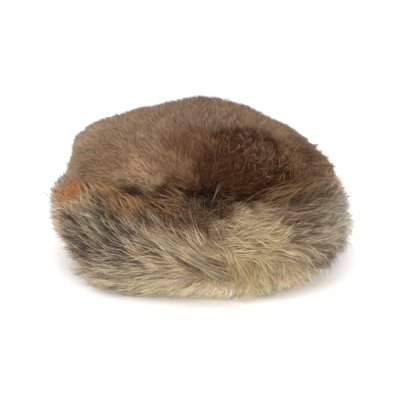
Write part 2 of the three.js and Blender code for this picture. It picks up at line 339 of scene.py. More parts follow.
def bandTones(turn, height):
    # the blend of the band's patches at a place that the ripple moves, with painted light that makes it
    # paler towards the floor
    spec = patchEdges
    at = place(turn, spec["reach"], height)
    degrees = np.degrees(turn) + spec["degrees"] * patchRipple(at)
    low, over = spec["heights"]
    level = np.clip(height, low, bandTop(turn) + over) + spec["height"] * patchRipple(at + 50)
    nearness = []
    for _, atTurn, atHeight, reachTurn, reachHeight, *_ in bandPatches:
        aside = (degrees - atTurn + 180) % 360 - 180
        nearness.append(bell(aside, level - atHeight, reachTurn, reachHeight))
    tip, root, dark = blendPatches(np.array(nearness), bandPatches)
    # painted light: the tones are raised towards the floor, against the shade under the cap there
    paintedLight = (1 + spec["hemPaintedLight"] * np.exp(-np.maximum(height, 0) / spec["hemHeight"]))[..., None]
    return tip * paintedLight, root * paintedLight, dark


def crownTones(points):
    # the blend of the crown's patches at points that the ripple moves
    ripples = [patchRipple(points + offset) for offset in (0, 40, 90)]
    spots = points + patchEdges["crown"] * np.stack(ripples, axis=-1)
    nearness = [ballBell(spots, (x, y, z), reach) for _, x, y, z, reach, *_ in crownPatches]
    return blendPatches(np.array(nearness), crownPatches)


# Meshes

def meshPiece(name, points, triangles, smooth, material):
    # a mesh of triangles from its points in millimetres
    mesh = bpy.data.meshes.new(name)
    mesh.vertices.add(len(points))
    mesh.vertices.foreach_set("co", toMetres(points).astype(np.float32).ravel())
    mesh.loops.add(3 * len(triangles))
    mesh.loops.foreach_set("vertex_index", triangles.astype(np.int32).ravel())
    mesh.polygons.add(len(triangles))
    mesh.polygons.foreach_set("loop_start", np.arange(0, 3 * len(triangles), 3, dtype=np.int32))
    mesh.polygons.foreach_set("use_smooth", np.full(len(triangles), smooth))
    mesh.update(calc_edges=True)
    mesh.materials.append(material)
    piece = bpy.data.objects.new(name, mesh)
    bpy.context.scene.collection.objects.link(piece)
    return piece


def setColour(mesh, name, colours):
    layer = mesh.attributes.new(name, "FLOAT_COLOR", "POINT")
    alpha = np.ones((len(colours), 1))
    layer.data.foreach_set("color", np.hstack([colours, alpha]).astype(np.float32).ravel())


def setNumber(mesh, name, values):
    layer = mesh.attributes.new(name, "FLOAT", "POINT")
    layer.data.foreach_set("value", values.astype(np.float32))


hairSides = 3


def hairMesh(name, paths, shares, outward, girth, flatness, tones, material):
    # Each hair is a closed needle: a three-sided ring at every station of its path but the last, which is
    # its tip. paths is hairs x stations x 3, shares say how far along each station is, outward points off
    # the skin, girth is half the width at each ring and flatness the share of it off the skin.
    hairs, stations = paths.shape[:2]
    rings = stations - 1
    ahead = unit(np.gradient(paths, axis=1))
    aside = unit(np.cross(ahead, outward))
    up = np.cross(aside, ahead)
    angles = np.radians(90) + np.arange(hairSides) * 2 * np.pi / hairSides
    swing = (np.cos(angles)[:, None] * aside[:, :rings, None, :]
             + flatness * np.sin(angles)[:, None] * up[:, :rings, None, :])
    rim = paths[:, :rings, None, :] + swing * girth[:, :rings, None, None]
    points = np.concatenate([rim.reshape(hairs, -1, 3), paths[:, -1:, :]], axis=1)
    perHair = rings * hairSides + 1
    faces = [(0, 1, 2)]
    for ring in range(rings):
        for side in range(hairSides):
            a, b = ring * hairSides + side, ring * hairSides + (side + 1) % hairSides
            if ring == rings - 1:
                faces.append((a, perHair - 1, b))
            else:
                faces += [(a, a + hairSides, b + hairSides), (a, b + hairSides, b)]
    triangles = np.array(faces)[None] + (np.arange(hairs) * perHair)[:, None, None]
    piece = meshPiece(name, points.reshape(-1, 3), triangles.reshape(-1, 3), True, material)
    along = np.append(np.repeat(shares[:rings], hairSides), 1)
    setNumber(piece.data, "along", np.tile(along, hairs))
    for key in ("tipTone", "rootTone"):
        onRings = np.repeat(tones[key][:, :rings], hairSides, axis=1)
        colours = np.concatenate([onRings, tones[key][:, -1:]], axis=1)
        setColour(piece.data, key, colours.reshape(-1, 3))
    print(name, hairs, "hairs", hairs * len(faces), "triangles")
    return piece


def hairGirth(width, count, shares, taper):
    # half the width at each share of the way, tapered by rows of share and width, uneven from hair to hair
    return width / 2 * rng.uniform(0.7, 1.2, (count, 1)) * np.interp(shares, *taper)


evenSteps = (0.7548776662, 0.5698402910)  # 1 over the plastic number and over its square


def spreadOver(surface, turns, rises, count):
    # Even spots on a surface: a sequence of two even steps, taken modulo 1, fills a square evenly. The first
    # share picks the row by the area up to it, the second the column by the area along that row.
    points = surface(*np.meshgrid(turns, rises))
    up = points[1:, :-1] - points[:-1, :-1]
    along = points[:-1, 1:] - points[:-1, :-1]
    area = np.linalg.norm(np.cross(up, along), axis=-1)
    rowSum = np.concatenate([[0], np.cumsum(area.sum(axis=1))])
    index = np.arange(count) + 0.5
    rowAt = np.interp((index * evenSteps[0]) % 1, rowSum / rowSum[-1], np.arange(len(rises)))
    row = np.minimum(rowAt.astype(int), len(rises) - 2)
    inRow = np.cumsum(area, axis=1)
    inRow = np.hstack([np.zeros((len(inRow), 1)), inRow]) / inRow[:, -1:]
    # the rows stand one after another, 2 apart, so that one interpolation serves them all
    flat = (inRow + 2 * np.arange(len(inRow))[:, None]).ravel()
    columnAt = np.interp((index * evenSteps[1]) % 1 + 2 * row, flat, np.arange(flat.size))
    columnAt = columnAt - row * len(turns)
    turn = np.interp(columnAt, np.arange(len(turns)), turns)
    return turn, np.interp(rowAt, np.arange(len(rises)), rises)


hairFloor = {"lowest": 1.0, "soft": 3}


def softFloor(height):
    # heights less than the soft part above the lowest run out towards the lowest
    lowest, soft = hairFloor["lowest"], hairFloor["soft"]
    bend = lowest + soft
    return np.where(height < bend, lowest + soft * np.exp(np.minimum(height - bend, 0) / soft), height)


# How the band's hair lies

# The combing by turn and height: the heading of the hair as seen from in front of it, 0 to the right, 90 up,
# 180 to the left
combing = (
    # turn, height, heading
    (-75, 68, 177), (-60, 74, 174), (-45, 74, 167), (-30, 76, 163), (-18, 78, 162), (-9, 79, 160),
    (-62, 55, 171), (-45, 57, 156), (-30, 60, 142), (-18, 64, 142), (-8, 66, 136), (-2, 72, 138),
    (-62, 40, 174), (-45, 42, 158), (-30, 44, 142), (-18, 48, 138), (-10, 50, 138), (-3, 50, 138),
    (-60, 25, 180), (-45, 25, 170), (-30, 27, 164), (-18, 32, 156), (-8, 37, 144), (0, 38, 139),
    (6, 28, 138), (-45, 8, 186), (-30, 11, 181), (-18, 20, 176), (-9, 24, 168), (-6, 13, 192),
    (-15, 6, 200), (-1, 10, 225), (4, 7, 245),
    (6, 76, -4), (8, 68, -14), (9, 60, -18), (11, 52, -20), (12, 43, -52), (13, 34, -70), (14, 25, -76),
    (14, 13, -76), (11, 5, -88),
    (19, 62, 4), (20, 51, -14), (21, 41, -34), (22, 30, -52), (23, 18, -50), (22, 7, -52),
    (31, 74, 4), (32, 60, -4), (33, 46, -18), (34, 31, -32), (34, 16, -38),
    (46, 74, 0), (46, 58, -6), (47, 42, -18), (48, 22, -30),
    (66, 74, -10), (66, 56, -14), (66, 38, -20), (66, 20, -24),
)

# The parting in front, where the hair of the two sides starts
parting = {"height": (0, 15, 30, 45, 60, 75, 90), "turn": (6, 8, 9, 8, 5, 2, 1)}

# Places where the hair is ruffled, longer or shorter, or stands higher or lower than the form
tousles = (
    # name, turn, height, reach in degrees, reach in height, swing in degrees, length, lift in millimetres
    ("whorl", 1, 72, 5.5, 8, 62, 0.42, -2.4),
    ("below the whorl", 6, 54, 6, 9, 30, 0.70, 0.6),
    ("ridge low", 5, 30, 4, 6, 0, 1.15, 2.4),
    ("ridge", -1, 38, 5, 6, 0, 1.25, 2.6),
    ("ridge high", -8, 47, 6, 6, 0, 1.20, 2.0),
    ("crease", -1, 25, 4, 4, 6, 0.80, -4.0),
    ("crease high", -9, 36, 5, 4, 4, 0.90, -3.0),
    ("soft clump", 19, 30, 5, 9, 14, 0.95, 1.6),
    ("soft clump above", 20, 55, 6, 7, 12, 0.90, 1.2),
    ("edge of the straw", 10, 69, 5, 7, -9, 0.80, -1.2),
    ("gap", 13, 42, 3, 5, 16, 0.80, -1.6),
    ("dark line", 14, 79, 12, 6, 0, 0.75, -3.4),
    ("dark spot", -24, 84, 5, 4, 0, 0.90, -3.6),
    ("left field", -38, 50, 16, 22, -3, 0.90, 0.0),
    ("left side", -90, 50, 30, 30, 12, 0.85, -5.0),
    ("high on the left", -63, 56, 10, 8, 0, 1.00, -6.0),
    ("low on the left", -60, 10, 12, 15, 0, 0.90, -8.5),
    ("hem on the left", -28, 3, 12, 8, 0, 1.00, 12.0),
    ("right side", 84, 66, 24, 24, 12, 0.90, -4.0),
    ("lower right", 38, 8, 26, 14, 0, 1.00, -7.5),
    ("front hem", 8, 3, 28, 7, 0, 0.90, -6.0),
)

bandComb = {
    "reach": 11,  # of a row of the combing table, in millimetres
    "sideways": 2.4,  # millimetres to a degree of turn
    "plain": 0.02,  # weight of the plain way to the back
    "plainAngle": 8,  # degrees by which that sinks at the floor
    "plainHeight": 40,  # where it is level, and above it climbs
    "mingle": 2.4,  # degrees round the parting in which hair may take either side's way
    "steps": 12,  # of a lock's way
    "edge": 11,  # how far hair may lie over the crown's edge
    "edgeSoft": 10,  # the last stretch below that, where it levels off
    "ripple": 8,  # degrees by which neighbouring locks swerve together
    "loose": 1.2,  # how much more they swerve where the headings disagree
    "waves": (3, 6),  # radians of the swing to and fro over a lock's way
}
# the seam behind: from where and over how many degrees hair turns down, from where and over how many
# millimetres of height, and how far
bandSeam = {"from": 145, "width": 35, "top": 84, "height": 50, "down": 60}
# past the band's edge: how far up the form goes on, and how much it leans in and slopes on each millimetre
bandEdge = {"over": 12, "inward": 1.1, "slope": 0.06}
bandFur = {
    "hairs": 10500,  # in each half
    "clumps": 2600,
    "locks": 420,
    "length": 33,
    "depth": 11,  # from the form of the tips down to the roots
    "lockLengths": (0.8, 1.15),
    "hairLengths": (0.7, 1.0),  # the share of its clump's way that a hair takes
    "width": 0.85,
    "flatness": 0.6,
    "thickness": (0.62, 0.75, 0.9),  # share of the width where no hair is dark, what all dark adds, the most
    "uneven": (0.35, 1.7),  # how unevenly the hair lies where none is dark, and what all dark adds
    "lockPull": 0.4,  # how far a lock's clumps draw together at its tip
    "drift": 2.6,  # how far a clump's tip strays from its lock
    "driftSwing": (0.6, 30),  # share of the drift without swing, and the degrees of swing that add all of it
    "clumpSpread": 2.3,
    "pull": 0.55,  # how far a clump draws together at its tip
    "drawn": 1.3,  # over 1, both draw together late
    "frizz": 0.6,
    "frizzWaves": (0.8, 2.0),
    "stations": (0, 0.4, 0.72, 1),
    "rise": 1.35,  # over 1, hairs lie low first and lift towards their tips
    "clumpLift": 0.8,
    "lockLift": 1.0,
    "tipLift": 0.8,
    "lump": 0.9,  # how far wide stretches stand higher and lower
    "out": -0.6,
    "under": 0.25,  # the share of hairs that end in the depth
    "underDepth": (1, 4),
    "strays": 0.04,  # and of those that stand out
    "strayHeight": (1, 7),
    "swing": 7,  # degrees by which single locks swerve, before the tousles
    "swingMost": 1.8,
    "brighter": 0.85,
    "wave": 15,  # degrees that a clump's way swings to and fro
    "calmer": ((0.025, 0.475), (1.2, 0.3)),  # rows of share dark and share of the wave
    "astray": (1.5, 2.2),  # degrees and millimetres off its own place where a clump takes its tones
    "toneSpread": (0.09, 0.14),  # from group to group and from hair to hair
    "taper": ((0, 0.3, 0.6, 0.85, 1), (0.7, 1, 0.95, 0.6, 0)),
}
bandGuard = dict(bandFur, hairs=4600, clumps=1500, length=36, depth=9, width=0.7, clumpSpread=1.8, pull=0.7,
                 frizz=1.3, drift=4.0, rise=1.0, out=0.6, strays=0.2, brighter=1.25)
combRipple = makeRipple(34, 5)
lumpRipple = makeRipple(38, 9)


def bandSurface(turn, height, standOff):
    # The form of the tips, and above the band's top the way up over the edge of the crown, which ends
    # softly. The second value is the way out, square to the profile, and standOff leaves the form that way.
    top = bandTop(turn)
    low = np.minimum(height, top)
    over = bandEdge["over"] * (1 - np.exp(-np.maximum(height - top, 0) / bandEdge["over"]))
    slope = (bandReach(turn, low) - bandReach(turn, low - 1)) - bandEdge["slope"] * over
    section = sectionAt(capForm["crown"], over / (capForm["height"] - top))
    crown = ovalReach(section, turn, capForm["crownPower"])
    reach = np.maximum(bandReach(turn, low) - bandEdge["inward"] * over, crown + 1)
    steep = 1 / np.sqrt(1 + slope ** 2)
    z = softFloor(low + over - slope * steep * standOff)
    outward = place(turn, steep, -slope * steep)
    return place(turn, reach + steep * standOff, z), outward


def rightOfParting(turn, height):
    # whether a place lies past the parting's turn at that height
    return np.degrees(turn) > alongRows(parting, "height", height, "turn")


def heading(turn, height, isRight):
    # The combed direction: a mean of the table's on that side of the parting, weighed by nearness, over one
    # that runs to the back. The second value is how far the neighbours agree, from 0 to 1.
    spec = bandComb
    degrees = np.degrees(turn)
    away = np.sign(np.where(degrees == 0, 1, degrees))
    inSeam = np.clip((np.abs(degrees) - bandSeam["from"]) / bandSeam["width"], 0, 1)
    inSeam = inSeam * np.clip((bandSeam["top"] - height) / bandSeam["height"], 0, 1)
    angle = (np.radians(spec["plainAngle"]) * (height / spec["plainHeight"] - 1)
             - inSeam * np.radians(bandSeam["down"]))
    total = spec["plain"]
    x = total * away * np.cos(angle)
    y = total * np.sin(angle)
    for atTurn, atHeight, atAngle in combing:
        aside = (degrees - atTurn) * spec["sideways"]
        near = np.exp(-(aside ** 2 + (height - atHeight) ** 2) / (2 * spec["reach"] ** 2))
        near = near * (isRight == rightOfParting(math.radians(atTurn), atHeight))
        x = x + near * math.cos(math.radians(atAngle))
        y = y + near * math.sin(math.radians(atAngle))
        total = total + near
    return np.arctan2(y, x), np.hypot(x, y) / total


def combedWalk(turn, height, swerve, wave, length):
    # A hair's way over the band, in even steps: each turns it by its level part over the reach there, and
    # near the crown's edge it levels off. The way swings to and fro by a sine of the share walked.
    spec = bandComb
    turns = [turn]
    heights = [height]
    step = length / spec["steps"]
    phase = rng.uniform(0, 2 * np.pi, len(turn))
    pace = rng.uniform(*spec["waves"], len(turn)) / spec["steps"]
    isRight = rightOfParting(turn + rng.normal(0, math.radians(spec["mingle"]), len(turn)), height)
    for index in range(spec["steps"]):
        angle, agreed = heading(turn, height, isRight)
        angle = angle + swerve * (1 + spec["loose"] * (1 - agreed)) + wave * np.sin(phase + pace * index)
        climb = np.sin(angle)
        room = np.clip((bandTop(turn) + spec["edge"] - height) / spec["edgeSoft"], 0, 1)
        climb = np.where(climb > 0, climb * room, climb)
        level = np.sign(np.cos(angle)) * np.sqrt(1 - climb ** 2)
        turn = turn + step * level / bandReach(turn, height)
        height = height + step * climb
        turns.append(turn)
        heights.append(height)
    return np.stack(turns, axis=1), np.stack(heights, axis=1)


def bandLocks(skin, grid, spec):
    # Locks are rooted evenly over the half band and walk the combed way. Each is longer, higher or more
    # askew by chance, by a wide ripple and by the tousles near it, more so where many hairs are dark.
    count = spec["locks"]
    turn, rise = spreadOver(skin, *grid, count)
    height = rise * bandTop(turn)
    at = skin(turn, rise)
    length = spec["length"] * rng.uniform(*spec["lockLengths"], count)
    swing = np.full(count, float(spec["swing"]))
    dark = bandTones(turn, height)[2]
    uneven = spec["uneven"][0] + spec["uneven"][1] * dark
    lift = (0.5 + 0.5 * uneven) * rng.normal(0, spec["lockLift"], count) + spec["lump"] * lumpRipple(at)
    for _, atTurn, atHeight, reachTurn, reachHeight, more, longer, higher in tousles:
        near = bell(np.degrees(turn) - atTurn, height - atHeight, reachTurn, reachHeight)
        swing = swing + more * near
        length = length * (1 + (longer - 1) * near)
        lift = lift + higher * near
    chance = np.clip(rng.normal(0, 1, count), -spec["swingMost"], spec["swingMost"])
    swerve = np.radians(bandComb["ripple"]) * combRipple(at) + chance * np.radians(swing)
    wave = np.radians(spec["wave"]) * np.interp(dark, *spec["calmer"])
    turns, heights = combedWalk(turn, height, swerve, wave, length)
    return {"at": at, "turns": turns, "heights": heights, "lift": lift, "uneven": uneven, "swing": swing}


def bandClumps(skin, grid, spec):
    # A clump is rooted evenly too. It keeps its place beside the nearest lock's way, draws in towards it and
    # drifts off it by chance.
    locks = bandLocks(skin, grid, spec)
    count = spec["clumps"]
    turn, rise = spreadOver(skin, *grid, count)
    height = rise * bandTop(turn)
    at = skin(turn, rise)
    lock = ((at[:, None] - locks["at"][None]) ** 2).sum(axis=-1).argmin(axis=1)
    uneven = locks["uneven"][lock]
    lift = locks["lift"][lock] + uneven * rng.normal(0, spec["clumpLift"], count)
    walked = np.linspace(0, 1, bandComb["steps"] + 1)[None]
    near = 1 - spec["lockPull"] * walked ** spec["drawn"]
    looser = spec["driftSwing"][0] + locks["swing"][lock, None] / spec["driftSwing"][1]
    driftLevel, driftUp = rng.normal(0, spec["drift"], (2, count, 1)) * looser
    lockTurns, lockHeights = locks["turns"][lock], locks["heights"][lock]
    heights = lockHeights + (height[:, None] - lockHeights[:, :1]) * near + driftUp * walked
    turns = lockTurns + (turn[:, None] - lockTurns[:, :1]) * near
    turns = turns + driftLevel * walked / bandReach(turns, heights)
    return {"lock": lock, "turns": turns, "heights": heights, "lift": lift, "uneven": uneven}


def bandHairs(side, spec):
    # A hair keeps its place beside its clump's way and draws in towards it, waves a little, and climbs from
    # its root to the form of the tips. Most end near that form, a share under it and a few out of it.
    grid = np.radians(np.linspace(0.2, 179.8, 121) * side), np.linspace(0.03, 1.0, 41)

    def skin(turn, rise):
        return bandSurface(turn, rise * bandTop(turn), 0)[0]

    clumps = bandClumps(skin, grid, spec)
    count = spec["hairs"]
    own = rng.integers(0, spec["clumps"], count)
    share = np.array(spec["stations"])
    at = share * rng.uniform(*spec["hairLengths"], (count, 1)) * bandComb["steps"]
    before = np.minimum(at.astype(int), bandComb["steps"] - 1)
    part = at - before
    turn, height = [way[own[:, None], before] * (1 - part) + way[own[:, None], before + 1] * part
                    for way in (clumps["turns"], clumps["heights"])]
    loose = 1 - spec["pull"] * np.minimum(clumps["uneven"][own, None], 1) * share ** spec["drawn"]
    start = rng.uniform(0, 2 * np.pi, (2, count, 1))
    pace = rng.uniform(*spec["frizzWaves"], (2, count, 1)) * 2 * np.pi
    frizz = spec["frizz"] * share * np.sin(start + pace * share)
    offLevel, offUp = rng.normal(0, spec["clumpSpread"], (2, count, 1))
    turn = turn + (offLevel * loose + frizz[0]) / bandReach(turn, height)
    height = np.maximum(height + offUp * loose + frizz[1], 0)

    under = rng.random(count) < spec["under"]
    tipOut = spec["out"] + clumps["lift"][own] + rng.normal(0, spec["tipLift"], count)
    tipOut = tipOut - under * rng.uniform(*spec["underDepth"], count)
    tipOut = tipOut + (rng.random(count) < spec["strays"]) * rng.uniform(*spec["strayHeight"], count)
    standOff = -spec["depth"] + (spec["depth"] + tipOut[:, None]) * share ** spec["rise"]
    paths, outward = bandSurface(turn, height, standOff)
    # each station takes its tones from half way to the last but one
    tonesAt = [(way + way[:, -2:-1]) / 2 for way in (turn, height)]
    return paths, outward, tonesAt, (own, clumps["lock"][own])


toneChances = {
    "uneven": (0.4, 1.8),  # how far single tones differ where no hair is dark, and what all dark adds
    "warmth": (0.04, 0, -0.048),  # how much redder a hair may be, or as much bluer
    "standOut": (0.25, 2.2),  # how far "brighter" counts where no hair is dark, and what all dark adds
    "darkTip": 0.3,  # how much a dark hair's tip keeps of its own tone, the rest being the root's
}


def hairTones(patchTones, groups, spread, brighter=1):
    # The tones of single hairs, hairs x stations x 3: some are dark all along, and each hair and each group
    # of hairs is a little lighter or redder than the next, more so where many are dark.
    spec = toneChances
    tip, root, dark = patchTones
    count = len(tip)
    isDark = rng.random(count) < dark[:, -1]
    uneven = spec["uneven"][0] + spec["uneven"][1] * dark[:, -1]
    value = rng.normal(0, spread[1], count)
    for group in groups:
        value = value + rng.normal(0, spread[0], group.max() + 1)[group]
    value = np.exp(value * uneven)
    warmth = rng.normal(0, 1, (count, 1, 1)) * np.array(spec["warmth"])
    value = value[:, None, None] * (1 + warmth)
    stand = np.minimum(spec["standOut"][0] + spec["standOut"][1] * dark[:, -1], 1)[:, None, None]
    darkTip = spec["darkTip"] * tip + (1 - spec["darkTip"]) * root
    tip = np.where(isDark[:, None, None], darkTip, tip * (1 + (brighter - 1) * stand))
    return {"tipTone": np.clip(tip * value, 0, 1), "rootTone": np.clip(root * value, 0, 1)}


def plainTones(tone, hairs, stations, spread):
    # one tone for each hair from root to tip, lighter or darker by chance
    value = np.exp(rng.normal(0, spread, hairs))[:, None, None]
    return np.clip(toLinear(tone) * value * np.ones((1, stations, 1)), 0, 1)


# Materials

class Wire:
    # a shader socket that can stand in a sum; each operator adds the Math node for it
    def __init__(self, shader, socket):
        self.shader = shader
        self.socket = socket

    def math(self, operation, first, second):
        return self.shader.node("ShaderNodeMath", {"operation": operation}, {0: first, 1: second})

    def __add__(self, other):
        return self.math("ADD", self, other)

    def __sub__(self, other):
        return self.math("SUBTRACT", self, other)

    def __rsub__(self, other):
        return self.math("SUBTRACT", other, self)

    def __mul__(self, other):
        return self.math("MULTIPLY", self, other)

    def __pow__(self, other):
        return self.math("POWER", self, other)

    __radd__ = __add__
    __rmul__ = __mul__


class Shader:
    def __init__(self, name):
        self.material = bpy.data.materials.new(name)
        self.material.use_nodes = True
        self.tree = self.material.node_tree
        self.tree.nodes.clear()

    def node(self, kind, settings, sockets, output=0):
        made = self.tree.nodes.new(kind)
        for key, value in settings.items():
            setattr(made, key, value)
        for key, value in sockets.items():
            if isinstance(value, Wire):
                self.tree.links.new(value.socket, made.inputs[key])
            else:
                made.inputs[key].default_value = value
        return Wire(self, made.outputs[output])

    def mix(self, factor, first, second, blend="MIX"):
        # a Mix node for colours takes its factor at 0 and its colours at 6 and 7, and gives its colour at 2
        settings = {"data_type": "RGBA", "blend_type": blend}
        return self.node("ShaderNodeMix", settings, {0: factor, 6: first, 7: second}, 2)

    def noise(self, scale, detail, roughness=0.5):
        at = self.node("ShaderNodeTexCoord", {}, {}, "Object")
        return self.node("ShaderNodeTexNoise", {}, {"Vector": at, "Scale": scale, "Detail": detail,
                                                    "Roughness": roughness})

    def stretch(self, value, ends, results):
        # a Map Range node, whose number sockets are the value, the two ends and the two results
        sockets = {0: value, 1: ends[0], 2: ends[1], 3: results[0], 4: results[1]}
        return self.node("ShaderNodeMapRange", {}, sockets)

    def bump(self, height, strength, distance):
        sockets = {"Strength": strength, "Distance": distance, "Height": height}
        return self.node("ShaderNodeBump", {}, sockets)

    def attribute(self, name, output):
        return self.node("ShaderNodeAttribute", {"attribute_name": name}, {}, output)

    def finish(self, sockets):
        surface = self.node("ShaderNodeBsdfPrincipled", {}, sockets)
        end = self.tree.nodes.new("ShaderNodeOutputMaterial")
        self.tree.links.new(surface.socket, end.inputs["Surface"])
        return self.material


def grey(level):
    return (level, level, level, 1)


def furMaterial(name, look):
    # root colour at the skin, tip colour at the end, and cloudy light and dark that crosses many hairs
    shader = Shader(name)
    along = shader.attribute("along", "Fac")
    mask = along ** look["tipStart"]
    tone = shader.mix(mask, shader.attribute("rootTone", "Color"), shader.attribute("tipTone", "Color"))
    cloud = shader.noise(look["cloudScale"], 3)
    tone = shader.mix(1.0, tone, shader.stretch(cloud, (0.35, 0.65), look["cloud"]), "MULTIPLY")
    fine = shader.noise(look["fineScale"], 2)
    roughness = look["roughness"] + look["uneven"] * (fine - 0.5)
    return shader.finish({
        "Base Color": tone,
        "Roughness": roughness,
        "Specular IOR Level": look["specular"],
    })


longFurLook = {
    "tipStart": 1.9,
    "cloudScale": 55,
    "cloud": (0.86, 1.1),  # how dark and how light the clouds are
    "fineScale": 700,
    "roughness": 0.7,
    "uneven": 0.2,
    "specular": 0.1,
}
plushLook = dict(longFurLook, tipStart=1.0, cloudScale=80, cloud=(0.9, 1.08), roughness=0.8, specular=0.05)


woolLook = {
    "grainScale": 260,
    "grain": (0.55, 1.0),
    "roughness": 0.9,
    "specular": 0.1,
    "relief": (0.8, 0.002),  # its strength, and its height in metres
}


def woolMaterial(name, look):
    # the dense underfur on the skin: the root's tone times a fibrous, felted grain
    shader = Shader(name)
    grain = shader.noise(look["grainScale"], 4, 0.7)
    shade = shader.stretch(grain, (0.3, 0.7), look["grain"])
    return shader.finish({
        "Base Color": shader.mix(1.0, shader.attribute("rootTone", "Color"), shade, "MULTIPLY"),
        "Roughness": look["roughness"],
        "Specular IOR Level": look["specular"],
        "Normal": shader.bump(grain, *look["relief"]),
    })


suedeLook = {
    "blotchScale": 22,
    "tones": ((0.42, 0.29, 0.19, 1), (0.56, 0.42, 0.29, 1)),
    "napScale": 900,
    "nap": (0.85, 1.08),
    "roughness": 0.85,
    "specular": 0.2,
    "relief": (0.4, 0.0006),
}


def suedeMaterial(name, look):
    # the flesh side of the skin: blotches of two pale tans times a short nap
    shader = Shader(name)
    blotch = shader.noise(look["blotchScale"], 3, 0.6)
    nap = shader.noise(look["napScale"], 3, 0.7)
    speck = shader.stretch(nap, (0.3, 0.7), look["nap"])
    return shader.finish({
        "Base Color": shader.mix(1.0, shader.mix(blotch, *look["tones"]), speck, "MULTIPLY"),
        "Roughness": look["roughness"],
        "Specular IOR Level": look["specular"],
        "Normal": shader.bump(nap, *look["relief"]),
    })


longFur = furMaterial("long_fur", longFurLook)
plush = furMaterial("plush", plushLook)
wool = woolMaterial("wool", woolLook)
suede = suedeMaterial("suede", suedeLook)
print("materials made")


# Pelts

def gridTriangles(rows, columns):
    # two triangles for each cell of a grid of rows x columns, whose columns close on themselves
    row, column = np.meshgrid(np.arange(rows - 1), np.arange(columns), indexing="ij")
    a = row * columns + column
    b = row * columns + (column + 1) % columns
    c, d = a + columns, b + columns
    return np.concatenate([np.stack([a, c, d], -1).reshape(-1, 3), np.stack([a, d, b], -1).reshape(-1, 3)])


def fan(middle, first, count, turned):
    # triangles from a middle point to each side of a ring of points, which starts at first
    around = first + np.arange(count)
    follow = first + (np.arange(count) + 1) % count
    sides = (follow, around) if turned else (around, follow)
    return np.stack([np.full(count, middle), *sides], -1)


crownPelt = {
    "depth": 5.5,
    "turns": 144,
    "outerRings": 40,
    "topRise": 0.985,  # the last ring outside, below the point on top
    "neckRings": 14,
    "hollowRings": 40,
    "hollowRise": 0.97,
}


def makeCrownPelt():
    # rings from the top down the outside, under the rim and up the inside, closed by a point at each end
    spec = crownPelt
    turns = np.linspace(0, 2 * np.pi, spec["turns"], endpoint=False)
    rows = []
    for rise in np.linspace(spec["topRise"], 0, spec["outerRings"]):
        rows.append(crownPoint(turns, np.full_like(turns, rise), -spec["depth"]))
    top = bandTop(turns) - 1
    for share in np.linspace(1, 0, spec["neckRings"]):
        rows.append(place(turns, neckReach(turns, top * share), top * share))
    for rise in np.linspace(0, spec["hollowRise"], spec["hollowRings"]):
        reach = ovalReach(sectionAt(capForm["hollow"], np.full_like(turns, rise)), turns, 2)
        rows.append(place(turns, reach, np.full_like(turns, capForm["ceiling"] * rise)))
    rings = np.concatenate(rows)
    points = np.concatenate([rings, [(0, 0, capForm["height"] - spec["depth"]), (0, 0, capForm["ceiling"])]])
    triangles = np.concatenate([
        gridTriangles(len(rows), spec["turns"]),
        fan(len(rings), 0, spec["turns"], False),
        fan(len(rings) + 1, (len(rows) - 1) * spec["turns"], spec["turns"], True),
    ])
    piece = meshPiece("crown_pelt", points, triangles, True, wool)
    setColour(piece.data, "rootTone", crownTones(points)[1])
    piece.data.materials.append(suede)
    inside = (spec["outerRings"] + spec["neckRings"]) * spec["turns"] - 1
    piece.data.polygons.foreach_set("material_index", (triangles.min(axis=1) >= inside).astype(np.int32))
    return piece


bandPelt = {"depth": 10, "wall": 2.5, "gap": 0.6, "turns": 90, "outer": 16, "inner": 10, "top": 0.96}


def makeBandPelt(name, side):
    # a closed profile of outside, top, inside and underside is carried round half the head, and each end is
    # closed by a fan round the middle of its profile
    spec = bandPelt
    turns = np.radians(np.linspace(0.1, 179.9, spec["turns"])) * side
    profile = []
    for share in np.linspace(0, spec["top"], spec["outer"]):
        height = bandTop(turns) * share
        outside = bandReach(turns, height) - spec["depth"]
        profile.append(place(turns, np.maximum(outside, neckReach(turns, height) + spec["wall"]), height))
    for share in np.linspace(spec["top"], 0, spec["inner"]):
        height = bandTop(turns) * share
        profile.append(place(turns, neckReach(turns, height) + spec["gap"], height))
    loop = len(profile)
    rings = np.stack(profile, axis=1).reshape(-1, 3)
    triangles = np.concatenate([
        gridTriangles(spec["turns"], loop),
        fan(len(rings), 0, loop, False),
        fan(len(rings) + 1, len(rings) - loop, loop, True),
    ])
    if side < 0:
        triangles = triangles[:, ::-1]
    points = np.concatenate([rings, [rings[:loop].mean(0), rings[-loop:].mean(0)]])
    piece = meshPiece(name, points, triangles, False, wool)
    setColour(piece.data, "rootTone", bandTones(turnOf(points), points[:, 2])[1])
    return piece


crownPeltPiece = makeCrownPelt()
bandPeltPieces = [makeBandPelt("band_left_pelt", -1), makeBandPelt("band_right_pelt", 1)]
print("pelts made")


# Fur of the band

def makeBandFur(name, side, spec):
    # a clump takes its tones a little off its own place, so that the patches mingle; light hair is thinner
    paths, outward, (turn, height), groups = bandHairs(side, spec)
    astray = rng.normal(0, 1, (2, spec["clumps"], 1))[:, groups[0]]
    offTurn, offHeight = spec["astray"]
    byPlace = bandTones(turn + np.radians(offTurn) * astray[0], height + offHeight * astray[1])
    tones = hairTones(byPlace, groups, spec["toneSpread"], spec["brighter"])
    least, more, most = spec["thickness"]
    finer = np.minimum(least + more * byPlace[2].mean(axis=1, keepdims=True), most)
    girth = hairGirth(spec["width"], len(paths), spec["stations"], spec["taper"]) * finer
    return hairMesh(name, paths, np.array(spec["stations"]), outward, girth, spec["flatness"], tones,
                    longFur)


bandFurPieces = {
    "left": [makeBandFur("band_left_fur", -1, bandFur), makeBandFur("band_left_guard", -1, bandGuard)],
    "right": [makeBandFur("band_right_fur", 1, bandFur), makeBandFur("band_right_guard", 1, bandGuard)],
}

# Plush of the crown

